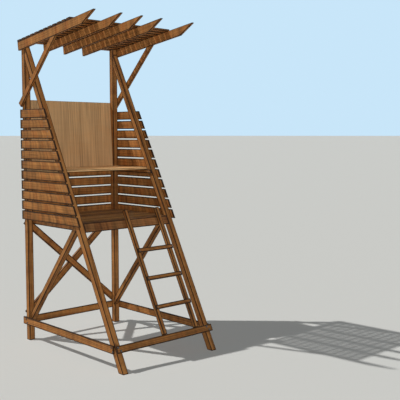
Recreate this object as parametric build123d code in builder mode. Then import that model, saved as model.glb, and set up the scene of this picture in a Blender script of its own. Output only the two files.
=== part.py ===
"""Timber lifeguard tower: two raked posts lean against two upright rear posts, and carry a
deck, three slatted walls, a seat with a reclined back panel, a flat raked roof and a ladder.

Millimetres, +Z up. The front looks along -Y and +X is to the right seen from the front.
The origin is on the ground under the middle of the tower's box.
"""

import os
from math import atan2, cos, degrees, hypot, radians, sin

from build123d import *

# Main frame
tower_width = 1352.0  # over the outer faces of the posts
post_size = 70.0  # square section of the posts
foot_reach = 1908.0  # rear faces of the rear posts to the toes of the raked posts
apex_drop = 57.0  # top of the raked posts below the rafter tops at the rear faces

# Base rails and braces
rail_width = 88.0
rail_thickness = 20.0
rail_lift = 192.0  # ground to the underside of the side and rear rails
side_rail_tail = 40.0  # how far the side rails run out behind the rear posts
front_rail_width = 80.0
front_rail_thickness = 22.0
front_rail_rise = 225.0  # up the rake from the toes to the front rail
front_rail_tail = 30.0  # how far the front rail runs out past the right post
side_brace_size = 62.0  # square section
side_brace_inset = 24.0  # outer faces of the side braces inside those of the posts
side_brace_lift = 240.0  # ground to the lower edge of a side brace at its rear post
side_brace_setback = 56.0  # its lower edge to the raked post, level with the beams' undersides
rear_brace_width = 80.0
rear_brace_thickness = 38.0

# Deck
deck_height = 1508.0
deck_beam_depth = 100.0
deck_beam_thickness = 45.0
deck_board_thickness = 25.0
deck_board_gap = 5.0
deck_board_count = 10  # full width boards, in front of the one between the rear posts

# Slatted walls
slat_width = 104.0
slat_gap = 16.0
slat_thickness = 20.0
slat_drop = 35.0  # how far the lowest slats hang below the deck
slat_overhang = 42.0  # level distance that the side slats run past the raked posts

# Seat and back panel
seat_height = 545.0  # deck to the underside of the seat
seat_thickness = 23.0
seat_bearer_depth = 45.0
seat_bearer_thickness = 20.0
panel_thickness = 12.0
panel_height = 815.0  # from the seat straight up to its top
panel_foot_offset = 43.0  # back of the panel to the rear slats, at the seat

# Roof
roof_height = 2060.0  # deck to the rafter tops, over the rear faces of the rear posts
lookout_height = 790.0  # from there down to where the slatted walls have to end
roof_slope = 7.7  # degrees, rising to the front
rafter_depth = 99.0
rafter_thickness = 30.0
rafter_tail = 35.0  # rafter ends and rearmost batten behind the rear posts
rafter_reach = 1514.0  # up the slope from the rear faces of the posts to the tips
rafter_bevel = 230.0  # length of the undercut at the tips
rafter_nose = 6.0  # depth of the blunt end at a tip
inner_rafter_spacing = 280.0
inner_rafter_shift = -62.0  # middle rafter from the middle of the tower
batten_count = 12
batten_width = 70.0
batten_gap = 25.0
batten_thickness = 25.0
strut_depth = 66.0
strut_angle = 45.0  # degrees from level
strut_lift = 27.0  # lowest corner of a strut above the lookout's sill
strut_inset = 12.0  # lowest corner of a strut in front of the rear faces of the posts

# Ladder
ladder_width = 515.0  # over the stringers
ladder_shift = 228.0  # middle of the ladder from the middle of the tower
stringer_size = 46.0  # square section
stringer_rise = 91.0  # tops of the stringers above the deck
rung_width = 49.0
rung_thickness = 20.0
rung_spacing = 339.0  # along the stringers
rung_start = 310.0  # foot of the stringers to the middle of the lowest rung

overrun = 200.0  # spare length of a shape that another one trims

# Places worked out from the sizes
half_width = tower_width / 2
inner_half = half_width - post_size
rear_y = (foot_reach - side_rail_tail) / 2  # rear faces of the rear posts
post_front_y = rear_y - post_size
toe_y = rear_y - foot_reach
roof_level = deck_height + roof_height
sill_level = roof_level - lookout_height
apex_height = roof_level - apex_drop
rake_angle = degrees(atan2(foot_reach - post_size, apex_height))
rake_sin, rake_cos = sin(radians(rake_angle)), cos(radians(rake_angle))
rake_level = post_size / rake_cos  # section of a raked post along the level
roof_sin, roof_cos = sin(radians(roof_slope)), cos(radians(roof_slope))
slat_pitch = slat_width + slat_gap
slat_bottom = deck_height - slat_drop
slat_count = int((sill_level - slat_bottom + slat_gap) // slat_pitch)
wall_top = slat_bottom + slat_count * slat_pitch - slat_gap
beam_bottom = deck_height - deck_beam_depth
beam_top = deck_height - deck_board_thickness
rail_top = rail_lift + rail_width
brace_outer = half_width - side_brace_inset
brace_inner = brace_outer - side_brace_size
seat_bottom = deck_height + seat_height
seat_top = seat_bottom + seat_thickness


def rake_front(height: float) -> float:
    """Level place, along Y, of the raked posts' front faces at a height."""
    return toe_y + height * rake_sin / rake_cos


def rake_rear(height: float) -> float:
    """Level place, along Y, of the raked posts' rear faces at a height."""
    return rake_front(height) + rake_level


def on_rake(along: float, proud: float) -> tuple:
    """Point (Y, Z) up the rake from the toes and proud of the raked posts' front faces."""
    return (
        toe_y + along * rake_sin - proud * rake_cos,
        along * rake_cos + proud * rake_sin,
    )


def on_roof(along: float, below: float) -> tuple:
    """Point (Y, Z) up the roof slope from the rear posts and below the rafter tops."""
    return (
        rear_y - along * roof_cos - below * roof_sin,
        roof_level + along * roof_sin - below * roof_cos,
    )


def under_rafters(start: tuple, angle: float) -> tuple:
    """Where a line that climbs forwards from start meets the undersides of the rafters."""
    step_y, step_z = -cos(radians(angle)), sin(radians(angle))
    height = (start[0] - rear_y) * roof_sin + (start[1] - roof_level) * roof_cos
    run = (-rafter_depth - height) / (step_y * roof_sin + step_z * roof_cos)
    return (start[0] + run * step_y, start[1] + run * step_z)


def keep(piece: BuildPart, name: str) -> None:
    """Label a finished piece and write it to its own file."""
    piece.part.label = name
    export_step(piece.part, f"parts/{name}.step")


def make_side_profile(name: str, outline: list, low_x: float, high_x: float) -> None:
    """A piece with one outline (Y, Z) all the way from low_x to high_x."""
    with BuildPart() as piece:
        with BuildSketch(Plane.YZ.offset(low_x)):
            with BuildLine():
                Polyline(*outline, close=True)
            make_face()
        extrude(amount=high_x - low_x)
    keep(piece, name)


def make_pair(name: str, outline: list, near: float, far: float) -> None:
    """A left and a right piece, between two distances from the middle of the tower."""
    make_side_profile(f"left_{name}", outline, -far, -near)
    make_side_profile(f"right_{name}", outline, near, far)


def make_posts() -> None:
    """Rear posts, cut off under the battens, and raked posts that butt against them."""
    upright = [
        (post_front_y, 0),
        (rear_y, 0),
        (rear_y, roof_level),
        (post_front_y, roof_level + post_size * roof_sin / roof_cos),
    ]
    make_pair("rear_post", upright, inner_half, half_width)
    raked = [
        (toe_y, 0),
        (toe_y + rake_level, 0),
        (post_front_y, (foot_reach - post_size - rake_level) * rake_cos / rake_sin),
        (post_front_y, apex_height),
    ]
    make_pair("raked_post", raked, inner_half, half_width)


def make_base_rails() -> None:
    """Boards that tie the posts together near the ground."""
    front_end = rake_front(rail_top)
    side = [
        (front_end, rail_lift),
        (rear_y + side_rail_tail, rail_lift),
        (rear_y + side_rail_tail, rail_top),
        (front_end, rail_top),
    ]
    make_pair("base_rail", side, half_width, half_width + rail_thickness)
    rear = [
        (rear_y, rail_lift),
        (rear_y + rail_thickness, rail_lift),
        (rear_y + rail_thickness, rail_top),
        (rear_y, rail_top),
    ]
    make_side_profile("rear_base_rail", rear, -half_width, half_width)
    front_top = front_rail_rise + front_rail_width
    front = [
        on_rake(front_rail_rise, 0),
        on_rake(front_top, 0),
        on_rake(front_top, front_rail_thickness),
        on_rake(front_rail_rise, front_rail_thickness),
    ]
    make_side_profile("front_base_rail", front, -half_width, half_width + front_rail_tail)


def make_side_brace(name: str, low_x: float) -> None:
    """A brace from a rear post's foot up to the raked post, cut level under the deck boards."""
    head_y = rake_rear(beam_bottom) + side_brace_setback
    run, rise = post_front_y - head_y, beam_bottom - side_brace_lift
    length = hypot(run, rise) + overrun
    with BuildPart() as brace:
        with BuildSketch(Plane.YZ.offset(low_x)):
            with BuildLine():
                Polyline(
                    (post_front_y, 0),
                    (post_front_y, beam_top),
                    (rake_rear(beam_top), beam_top),
                    (rake_rear(0), 0),
                    close=True,
                )
            make_face()
            with Locations((post_front_y, side_brace_lift)):
                Rectangle(
                    2 * length,
                    side_brace_size,
                    rotation=-degrees(atan2(rise, run)),
                    align=(Align.CENTER, Align.MIN),
                    mode=Mode.INTERSECT,
                )
        extrude(amount=side_brace_size)
    keep(brace, name)


def make_rear_brace(name: str, turn: float, lap_y: float) -> None:
    """One timber of the rear cross, square cut inside its field and half lapped at the middle."""
    field_height = slat_bottom - rail_top
    middle = (0, (slat_bottom + rail_top) / 2)
    corner = atan2(field_height, tower_width)
    angle = atan2(
        field_height - rear_brace_width * cos(corner),
        tower_width - rear_brace_width * sin(corner),
    )
    length = min(
        (field_height - rear_brace_width * cos(angle)) / sin(angle),
        (tower_width - rear_brace_width * sin(angle)) / cos(angle),
    )
    with BuildPart() as piece:
        with BuildSketch(Plane.XZ.offset(-rear_y)):
            with Locations(middle):
                Rectangle(length, rear_brace_width, rotation=turn * degrees(angle))
        extrude(amount=-rear_brace_thickness)
        with BuildSketch(Plane.XZ.offset(-lap_y)):
            with Locations(middle):
                Rectangle(length, rear_brace_width, rotation=-turn * degrees(angle))
        extrude(amount=-rear_brace_thickness / 2, mode=Mode.SUBTRACT)
    keep(piece, name)


def make_deck() -> None:
    """Front and rear beams between the posts, side beams between these, and boards across."""
    side = [
        (rear_y - deck_beam_thickness, beam_bottom),
        (rear_y - deck_beam_thickness, beam_top),
        (rake_rear(beam_top), beam_top),
        (rake_rear(beam_bottom), beam_bottom),
    ]
    make_pair("deck_beam", side, brace_inner - deck_beam_thickness, brace_inner)
    front = [
        (rake_front(beam_bottom), beam_bottom),
        (rake_rear(beam_bottom), beam_bottom),
        (rake_rear(deck_height), deck_height),
        (rake_front(deck_height), deck_height),
    ]
    make_side_profile("front_deck_beam", front, -inner_half, inner_half)
    rear = [
        (rear_y - deck_beam_thickness, beam_bottom),
        (rear_y, beam_bottom),
        (rear_y, beam_top),
        (rear_y - deck_beam_thickness, beam_top),
    ]
    make_side_profile("rear_deck_beam", rear, -inner_half, inner_half)

    board_pitch = (post_front_y - rake_rear(deck_height)) / deck_board_count
    board_width = board_pitch - deck_board_gap
    with BuildPart() as boards:
        with BuildSketch(Plane.XY.offset(beam_top)):
            with Locations((0, rear_y - post_size / 2)):
                Rectangle(2 * inner_half, post_size)
            for number in range(deck_board_count):
                with Locations((0, rake_rear(deck_height) + number * board_pitch + board_width / 2)):
                    Rectangle(tower_width, board_width)
        extrude(amount=deck_board_thickness)
    keep(boards, "deck_boards")


def make_side_wall(name: str, low_x: float) -> None:
    """Slats of a side wall, with their front ends cut along the rake."""
    with BuildPart() as wall:
        with BuildSketch(Plane.YZ.offset(low_x)):
            for number in range(slat_count):
                low = slat_bottom + number * slat_pitch
                high = low + slat_width
                with BuildLine():
                    Polyline(
                        (rear_y, low),
                        (rear_y, high),
                        (rake_front(high) - slat_overhang, high),
                        (rake_front(low) - slat_overhang, low),
                        close=True,
                    )
                make_face()
        extrude(amount=slat_thickness)
    keep(wall, name)


def make_rear_wall() -> None:
    """Slats across the rear faces of the rear posts, over the ends of the side slats."""
    with BuildPart() as wall:
        with BuildSketch(Plane.XZ.offset(-rear_y)):
            for number in range(slat_count):
                with Locations((0, slat_bottom + number * slat_pitch + slat_width / 2)):
                    Rectangle(tower_width + 2 * slat_thickness, slat_width)
        extrude(amount=-slat_thickness)
    keep(wall, "rear_wall_slats")


def make_seat() -> None:
    """Seat board between the walls, on bearers, notched round the rear posts."""
    front = rake_rear(seat_top)
    with BuildPart() as seat:
        with BuildSketch(Plane.XY.offset(seat_bottom)):
            with BuildLine():
                Polyline(
                    (-half_width, front),
                    (half_width, front),
                    (half_width, post_front_y),
                    (inner_half, post_front_y),
                    (inner_half, rear_y),
                    (-inner_half, rear_y),
                    (-inner_half, post_front_y),
                    (-half_width, post_front_y),
                    close=True,
                )
            make_face()
        extrude(amount=seat_thickness)
    keep(seat, "seat_board")

    bearer_bottom = seat_bottom - seat_bearer_depth
    bearer = [
        (rake_front(bearer_bottom), bearer_bottom),
        (rear_y, bearer_bottom),
        (rear_y, seat_bottom),
        (rake_front(seat_bottom), seat_bottom),
    ]
    make_pair("seat_bearer", bearer, inner_half - seat_bearer_thickness, inner_half)


def make_back_panel() -> None:
    """Panel between the rear posts, standing on the seat and leaning on the highest slat behind it."""
    lean_height = min(wall_top - seat_top, panel_height)
    recline = atan2(panel_foot_offset, lean_height)
    lean_sin, lean_cos = sin(recline), cos(recline)
    length = panel_height / lean_cos
    back_y = rear_y - panel_foot_offset
    top = (back_y + length * lean_sin, seat_top + length * lean_cos)
    panel = [
        (back_y, seat_top),
        top,
        (top[0] - panel_thickness * lean_cos, top[1] + panel_thickness * lean_sin),
        (back_y - panel_thickness / lean_cos, seat_top),
    ]
    make_side_profile("back_panel", panel, -inner_half, inner_half)


def make_roof() -> None:
    """Rafters with undercut tips, battens across them and a strut under each outer rafter."""
    rafter = [
        on_roof(-rafter_tail, 0),
        on_roof(rafter_reach, 0),
        on_roof(rafter_reach, rafter_nose),
        on_roof(rafter_reach - rafter_bevel, rafter_depth),
        on_roof(-rafter_tail, rafter_depth),
    ]
    make_pair("outer_rafter", rafter, half_width, half_width + rafter_thickness)
    for place, name in enumerate(("left", "middle", "right"), start=-1):
        low_x = inner_rafter_shift + place * inner_rafter_spacing - rafter_thickness / 2
        make_side_profile(f"{name}_inner_rafter", rafter, low_x, low_x + rafter_thickness)

    roof_plane = Plane(
        origin=(0, rear_y, roof_level),
        x_dir=(1, 0, 0),
        z_dir=(0, roof_sin, roof_cos),
    )
    with BuildPart() as battens:
        with BuildSketch(roof_plane):
            for number in range(batten_count):
                along = number * (batten_width + batten_gap) + batten_width / 2 - rafter_tail
                with Locations((0, -along)):
                    Rectangle(tower_width + 2 * rafter_thickness, batten_width)
        extrude(amount=batten_thickness)
    keep(battens, "roof_battens")

    rise_sin, rise_cos = sin(radians(strut_angle)), cos(radians(strut_angle))
    low_corner = (rear_y - strut_inset, sill_level + strut_lift)
    high_corner = (
        low_corner[0] + strut_depth * rise_sin,
        low_corner[1] + strut_depth * rise_cos,
    )
    strut = [
        low_corner,
        under_rafters(low_corner, strut_angle),
        under_rafters(high_corner, strut_angle),
        high_corner,
    ]
    make_pair("roof_strut", strut, half_width, half_width + rafter_thickness)


def make_ladder() -> None:
    """Stringers that stand on the front rail and lean on the deck, with rungs across them."""
    foot = front_rail_rise + front_rail_width
    head = (deck_height + stringer_rise) / rake_cos
    left = ladder_shift - ladder_width / 2
    right = ladder_shift + ladder_width / 2
    stringer = [
        on_rake(foot, 0),
        on_rake(head, 0),
        on_rake(head, stringer_size),
        on_rake(foot, stringer_size),
    ]
    make_side_profile("ladder_left_stringer", stringer, left, left + stringer_size)
    make_side_profile("ladder_right_stringer", stringer, right - stringer_size, right)
    for number, name in enumerate(("lower", "middle", "upper")):
        low = foot + rung_start + number * rung_spacing - rung_width / 2
        rung = [
            on_rake(low, stringer_size),
            on_rake(low + rung_width, stringer_size),
            on_rake(low + rung_width, stringer_size + rung_thickness),
            on_rake(low, stringer_size + rung_thickness),
        ]
        make_side_profile(f"ladder_{name}_rung", rung, left, right)


os.makedirs("parts", exist_ok=True)
make_posts()
make_base_rails()
make_side_brace("left_side_brace", -brace_outer)
make_side_brace("right_side_brace", brace_inner)
make_rear_brace("rear_brace_rising", 1, rear_y)
make_rear_brace("rear_brace_falling", -1, rear_y + rear_brace_thickness / 2)
make_deck()
make_side_wall("left_wall_slats", -half_width - slat_thickness)
make_side_wall("right_wall_slats", half_width)
make_rear_wall()
make_seat()
make_back_panel()
make_roof()
make_ladder()
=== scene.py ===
"""Looks of a timber lifeguard tower: eased timbers, slats, boards, fixings, light and camera.

Metres, +Z up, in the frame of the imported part. The open front looks along -Y, +X is to the
right seen from the front, and the ground is at zero height.
"""

import logging
import math
import random
from dataclasses import dataclass, replace
from enum import Enum
from typing import Callable, Optional, Union

import bmesh
import bpy
from mathutils import Matrix, Vector


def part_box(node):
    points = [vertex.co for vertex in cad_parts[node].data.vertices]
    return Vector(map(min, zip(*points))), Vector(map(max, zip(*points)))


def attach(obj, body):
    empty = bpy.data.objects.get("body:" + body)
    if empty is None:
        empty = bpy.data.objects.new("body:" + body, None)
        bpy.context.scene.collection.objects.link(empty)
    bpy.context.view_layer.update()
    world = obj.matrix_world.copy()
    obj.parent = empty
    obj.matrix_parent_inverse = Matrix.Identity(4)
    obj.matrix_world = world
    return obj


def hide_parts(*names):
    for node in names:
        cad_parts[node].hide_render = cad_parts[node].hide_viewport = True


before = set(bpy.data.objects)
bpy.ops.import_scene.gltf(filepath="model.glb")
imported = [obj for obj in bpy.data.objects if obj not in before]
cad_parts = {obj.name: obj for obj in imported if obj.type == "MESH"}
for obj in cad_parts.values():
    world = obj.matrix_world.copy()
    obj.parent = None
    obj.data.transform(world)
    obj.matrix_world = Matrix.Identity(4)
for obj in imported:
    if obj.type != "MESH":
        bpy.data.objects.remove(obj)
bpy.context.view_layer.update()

BODY = "root"
SIDES = {"left": -1.0, "right": 1.0}  # the sign of X on each side of the tower
UP = Vector((0.0, 0.0, 1.0))
ACROSS_TOWER = Vector((1.0, 0.0, 0.0))
TO_REAR = Vector((0.0, 1.0, 0.0))
END_FACING = 0.6  # a face that looks along the grain by more than this is end grain
NO_CUT = 1.0  # distance from a skewed cut that isn't there

Colour = tuple[float, float, float]
Stretch = tuple[float, float, float]  # cycles in a metre along, across and through a board
Site = tuple[Vector, Vector]  # a place and the direction that it faces
Operand = Union["Value", float]

log = logging.getLogger("lifeguard_tower")


class Value:
    """An output of a node that can be used in sums with numbers and other outputs."""

    def __init__(self, graph: "NodeGraph", socket: bpy.types.NodeSocket) -> None:
        """Wrap one output socket of a graph."""
        self.graph = graph
        self.socket = socket

    def _sum(self, operation: str, first: Operand, second: Operand = 0.0) -> "Value":
        """Add one Math node."""
        return self.graph.node("ShaderNodeMath", {"operation": operation}, {0: first, 1: second})

    def __add__(self, other: Operand) -> "Value":
        """Sum."""
        return self._sum("ADD", self, other)

    __radd__ = __add__

    def __sub__(self, other: Operand) -> "Value":
        """Difference."""
        return self._sum("SUBTRACT", self, other)

    def __rsub__(self, other: Operand) -> "Value":
        """Difference with a number first."""
        return self._sum("SUBTRACT", other, self)

    def __mul__(self, other: Operand) -> "Value":
        """Product."""
        return self._sum("MULTIPLY", self, other)

    __rmul__ = __mul__

    def __truediv__(self, other: Operand) -> "Value":
        """Quotient."""
        return self._sum("DIVIDE", self, other)

    def __abs__(self) -> "Value":
        """Size without its sign."""
        return self._sum("ABSOLUTE", self)

    def fraction(self) -> "Value":
        """What is left over a whole number."""
        return self._sum("FRACT", self)

    def least(self, other: Operand) -> "Value":
        """The smaller of two values."""
        return self._sum("MINIMUM", self, other)

    def most(self, other: Operand) -> "Value":
        """The larger of two values."""
        return self._sum("MAXIMUM", self, other)

    def above(self, other: Operand) -> "Value":
        """One where this value is larger, zero elsewhere."""
        return self._sum("GREATER_THAN", self, other)

    def sibling(self, name: str) -> "Value":
        """Another output of the same node."""
        return Value(self.graph, self.graph.find(self.socket.node.outputs, name))


class NodeGraph:
    """A node tree of a material, a world or a geometry modifier."""

    def __init__(self, tree: bpy.types.NodeTree) -> None:
        """Start from an empty tree."""
        self.tree = tree
        self.tree.nodes.clear()

    @staticmethod
    def find(sockets: bpy.types.bpy_prop_collection, key: Union[int, str]) -> bpy.types.NodeSocket:
        """Look up a socket.

        Args:
            sockets: The inputs or the outputs of a node.
            key: A place in the list, an identifier or a name.

        Returns:
            The socket.
        """
        if isinstance(key, int):
            return sockets[key]
        return next((s for s in sockets if s.identifier == key), None) or sockets[key]

    def node(
        self,
        kind: str,
        settings: Optional[dict] = None,
        inputs: Optional[dict] = None,
        output: Union[int, str] = 0,
    ) -> Optional[Value]:
        """Add any node.

        Args:
            kind: The node's type.
            settings: Its properties, set first. The entry stops gives a ramp's places and greys.
            inputs: Values or links of its input sockets.
            output: The output socket that is wanted.

        Returns:
            That output, or nothing for a node that ends a tree.
        """
        made = self.tree.nodes.new(kind)
        for name, value in (settings or {}).items():
            if name == "stops":
                self._set_stops(made.color_ramp, value)
            else:
                setattr(made, name, value)
        for key, value in (inputs or {}).items():
            socket = self.find(made.inputs, key)
            if isinstance(value, Value):
                self.tree.links.new(value.socket, socket)
            else:
                socket.default_value = value
        if not made.outputs:
            return None
        return Value(self, self.find(made.outputs, output))

    @staticmethod
    def _set_stops(ramp: bpy.types.ColorRamp, stops: list[tuple[float, float]]) -> None:
        """Give a ramp its grey stops.

        Args:
            ramp: The ramp of a new node.
            stops: Places from zero to one, with a grey for each.
        """
        while len(ramp.elements) < len(stops):
            ramp.elements.new(1.0)
        for element, (place, grey) in zip(ramp.elements, stops):
            element.position = place
            element.color = (grey, grey, grey, 1.0)

    def attribute(self, name: str, output: str = "Vector") -> Value:
        """A named attribute of the mesh."""
        return self.node("ShaderNodeAttribute", {"attribute_name": name}, output=output)

    def vector(self, x: Operand, y: Operand, z: Operand) -> Value:
        """Three values as one vector."""
        return self.node("ShaderNodeCombineXYZ", inputs={"X": x, "Y": y, "Z": z})

    def split(self, vector: Value) -> tuple[Value, Value, Value]:
        """The three parts of a vector."""
        first = self.node("ShaderNodeSeparateXYZ", inputs={"Vector": vector}, output="X")
        return first, first.sibling("Y"), first.sibling("Z")

    def vectors(self, operation: str, first: Value, second: Union[Value, tuple]) -> Value:
        """Two vectors through one Vector Math node."""
        return self.node("ShaderNodeVectorMath", {"operation": operation}, {0: first, 1: second})

    def scaled(self, vector: Union[Value, tuple], factor: Operand) -> Value:
        """A vector or colour times a value."""
        inputs = {"Vector": vector, "Scale": factor}
        return self.node("ShaderNodeVectorMath", {"operation": "SCALE"}, inputs)

    def blend(self, factor: Operand, first: Union[Value, tuple], second: Union[Value, tuple]) -> Value:
        """A mix of two colours."""
        inputs = {"Factor_Float": factor, "A_Color": first, "B_Color": second}
        return self.node("ShaderNodeMix", {"data_type": "RGBA"}, inputs, "Result_Color")

    def noise(self, place: Value, stretch: Stretch, detail: float = 2.0) -> Value:
        """Noise about zero, from minus a half to a half.

        Args:
            place: Where on the piece.
            stretch: Cycles in a metre along each axis.
            detail: How many finer layers it has.

        Returns:
            The noise.
        """
        inputs = {"Vector": self.vectors("MULTIPLY", place, stretch), "Scale": 1.0, "Detail": detail}
        return self.node("ShaderNodeTexNoise", {}, inputs, "Fac") - 0.5

    def fade(self, value: Value, start: float, end: float) -> Value:
        """One at start, zero at end and smooth between."""
        inputs = {"Value": value, "From Min": start, "From Max": end, "To Min": 1.0, "To Max": 0.0}
        return self.node("ShaderNodeMapRange", {"interpolation_type": "SMOOTHSTEP"}, inputs)


def opaque(colour: Colour) -> tuple[float, float, float, float]:
    """A colour with full alpha."""
    return (*colour, 1.0)


# Factors that make several unlike numbers of a board's one random number
SHIFT_FACTORS = (31.0, 17.0, 23.0)
ASIDE_FACTOR, DEPTH_FACTOR, SHADE_FACTOR = 7.13, 3.71, 11.9

RING_STOPS = [(0.0, 0.0), (0.45, 0.10), (0.86, 1.0), (1.0, 0.0)]  # place in a ring, darkness


@dataclass(frozen=True)
class TimberFinish:
    """Oiled timber: rings and fibres along each board, soft bands across it, painted shade along the
    arrises.
    """

    name: str
    slot: str
    early: Colour  # wood between the ring lines
    late: Colour  # the ring lines
    flush: Colour  # redder wood in the bands across the grain
    ring_width: float = 0.017
    ring_show: float = 0.55
    ring_wander: float = 0.060
    sway_stretch: Stretch = (0.9, 6.0, 6.0)  # how soon the rings wander
    pith_aside: float = 0.24  # range of the pith's place across a board
    pith_near: float = 0.03  # least depth of the pith under a board's middle
    pith_range: float = 0.10  # how much deeper it may lie
    flush_show: float = 0.70
    flush_share: float = 0.45  # cycles of the redder wood for each band
    flush_across: float = 4.0
    flush_full: float = 0.16  # noise that makes the wood fully redder
    flush_none: float = -0.06  # noise that leaves it as it is
    figure: float = 0.35  # strength of the bands across the grain
    figure_width: float = 0.045
    patch_show: float = 0.50  # strength of slow changes along the grain
    patch_stretch: Stretch = (1.3, 9.0, 9.0)
    fibre_show: float = 1.00
    fibre_width: float = 0.010
    fibre_length: float = 0.20
    board_change: float = 0.20  # how much boards differ in tone
    darkest: float = 0.30  # least share of its colour that any streak keeps
    # Painted shade: a dark margin along every arris stands in for the shade in the gaps and joints between
    # boards
    edge_core: float = 0.007  # fully dark margin of painted shade along an arris
    edge_width: float = 0.014  # where the painted shade has faded out
    arris_shade_tone: float = 0.13
    edge_stretch: Stretch = (3.0, 20.0, 20.0)  # how ragged the painted shade along an arris is
    end_tone: float = 0.70
    roughness: float = 0.62
    fibre_roughness: float = 0.25
    ring_roughness: float = 0.06
    specular: float = 0.15
    bump: float = 0.35
    bump_depth: float = 0.0012
    ring_height: float = 0.5  # of the ring lines beside the fibres

    def material(self) -> bpy.types.Material:
        """Build the material.

        Returns:
            A material that reads the grain, half, cuts, tone and end attributes of a mesh.
        """
        made = bpy.data.materials.new(self.name)
        made.use_nodes = True
        graph = NodeGraph(made.node_tree)
        tone = graph.attribute("tone", "Fac")
        place = graph.attribute("grain")
        shift = graph.vector(*(tone * factor for factor in SHIFT_FACTORS))
        seeded = graph.vectors("ADD", place, shift)
        fine = 1.0 / self.fibre_width
        fibre = graph.noise(seeded, (1.0 / self.fibre_length, fine, fine), detail=3.0)
        rings = self._rings(graph, place, seeded, tone)
        wood = self._colour(graph, seeded, tone, fibre, rings)
        wood = self._arris_shade_and_end_grain(graph, wood, place, seeded)
        relief = fibre + rings * self.ring_height
        inputs = {"Strength": self.bump, "Distance": self.bump_depth, "Height": relief}
        bump = graph.node("ShaderNodeBump", inputs=inputs)
        surface = graph.node(
            "ShaderNodeBsdfPrincipled",
            inputs={
                "Base Color": wood,
                "Roughness": self.roughness + fibre * self.fibre_roughness + rings * self.ring_roughness,
                "Specular IOR Level": self.specular,
                "Normal": bump,
            },
        )
        graph.node("ShaderNodeOutputMaterial", inputs={"Surface": surface})
        return made

    def _rings(self, graph: NodeGraph, place: Value, seeded: Value, tone: Value) -> Value:
        """Growth rings round a pith that lies off the board's middle.

        Args:
            graph: The material's graph.
            place: Place in the board.
            seeded: Place in the board, moved by a random amount.
            tone: The board's random number.

        Returns:
            One on the dark ring lines, zero between them.
        """
        _, across, through = graph.split(place)
        aside = ((tone * ASIDE_FACTOR).fraction() - 0.5) * self.pith_aside
        deep = self.pith_near + (tone * DEPTH_FACTOR).fraction() * self.pith_range
        radius = graph.node(
            "ShaderNodeVectorMath",
            {"operation": "LENGTH"},
            {0: graph.vector(0.0, across + aside, through + deep)},
            "Value",
        )
        sway = graph.noise(seeded, self.sway_stretch, detail=1.0) * self.ring_wander
        phase = ((radius + sway) / self.ring_width).fraction()
        return graph.node("ShaderNodeValToRGB", {"stops": RING_STOPS}, {"Fac": phase})

    def _colour(self, graph: NodeGraph, seeded: Value, tone: Value, fibre: Value, rings: Value) -> Value:
        """Colour of the wood before its edges are darkened.

        Args:
            graph: The material's graph.
            seeded: Place in the board, moved by a random amount.
            tone: The board's random number.
            fibre: Fine lengthwise noise.
            rings: The ring lines.

        Returns:
            The colour.
        """
        upright = 1.0 / self.figure_width
        bands = graph.noise(seeded, (upright, 1.0, 1.0))
        flush_stretch = (upright * self.flush_share, self.flush_across, self.flush_across)
        flushes = graph.noise(seeded, flush_stretch)
        patches = graph.noise(seeded, self.patch_stretch)
        shade = 1.0 + bands * self.figure + patches * self.patch_show + fibre * self.fibre_show
        shade = shade + ((tone * SHADE_FACTOR).fraction() - 0.5) * self.board_change
        shade = shade.most(self.darkest)
        red = graph.fade(flushes, self.flush_full, self.flush_none) * self.flush_show
        wood = graph.blend(red, opaque(self.early), opaque(self.flush))
        wood = graph.blend(rings * self.ring_show, wood, opaque(self.late))
        return graph.scaled(wood, shade)

    def _arris_shade_and_end_grain(self, graph: NodeGraph, wood: Value, place: Value, seeded: Value) -> Value:
        """Paint shade along the arrises and darken the end grain.

        Args:
            graph: The material's graph.
            wood: The colour so far.
            place: Place in the board.
            seeded: Place in the board, moved by a random amount.

        Returns:
            The finished colour.
        """
        halves = graph.split(graph.attribute("half"))
        sides = [half - abs(part) for half, part in zip(halves, graph.split(place))]
        # Painted shade: darken a margin along the nearest arris
        to_edge = self._second_least([*sides, *graph.split(graph.attribute("cuts"))])
        ragged = to_edge + graph.noise(seeded, self.edge_stretch, detail=1.0) * self.edge_core
        edge = graph.fade(ragged, self.edge_core, self.edge_width)
        wood = graph.blend(edge, wood, graph.scaled(wood, self.arris_shade_tone))
        end = graph.attribute("end", "Fac")
        return graph.blend(end, wood, graph.scaled(wood, self.end_tone))

    @staticmethod
    def _second_least(values: list[Value]) -> Value:
        """The second smallest of several values.

        Args:
            values: At least two values, here the distances from a board's faces.

        Returns:
            The second smallest, which is the distance from the nearest arris.
        """
        least, second = values[0].least(values[1]), values[0].most(values[1])
        for value in values[2:]:
            second = second.least(least.most(value))
            least = least.least(value)
        return second


OILED: Colour = (0.335, 0.142, 0.039)
OILED_RING: Colour = (0.130, 0.045, 0.012)
OILED_FLUSH: Colour = (0.315, 0.108, 0.025)


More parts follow.
